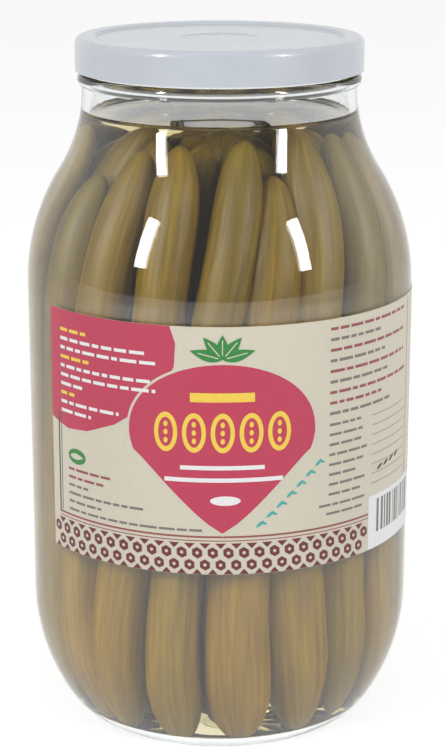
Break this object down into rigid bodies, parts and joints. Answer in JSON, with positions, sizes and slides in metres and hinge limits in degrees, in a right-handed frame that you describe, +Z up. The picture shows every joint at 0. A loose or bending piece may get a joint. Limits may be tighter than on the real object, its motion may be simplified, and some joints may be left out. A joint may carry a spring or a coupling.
{
  "type": "pickle jar",
  "caption": "Wide-mouth glass storage jar with a white twist-off metal lid, a wrap-round paper label, and cucumbers in brine up to the level shown",
  "frame": {"origin": "the centre of the base, on the surface the jar stands on", "axes": "+Z up along the jar's axis, -Y towards the front of the label, +X to the right as seen from the front"},
  "size_m": [0.1402, 0.1402, 0.2531],
  "materials": {
    "clear_glass": "clear, faintly green, smooth blown glass",
    "white_lid": "semi-gloss white lacquer on sheet metal",
    "brine": "clear yellow-green liquid",
    "label_paper": "coated paper, printed",
    "pickle_skin": "wet olive cucumber skin",
    "label_print": "ink printed on coated paper"
  },
  "bodies": {
    "root": {"glass_jar": "clear_glass", "lid": "white_lid", "brine": "brine", "label": "label_paper"}
  },
  "joints": []
}
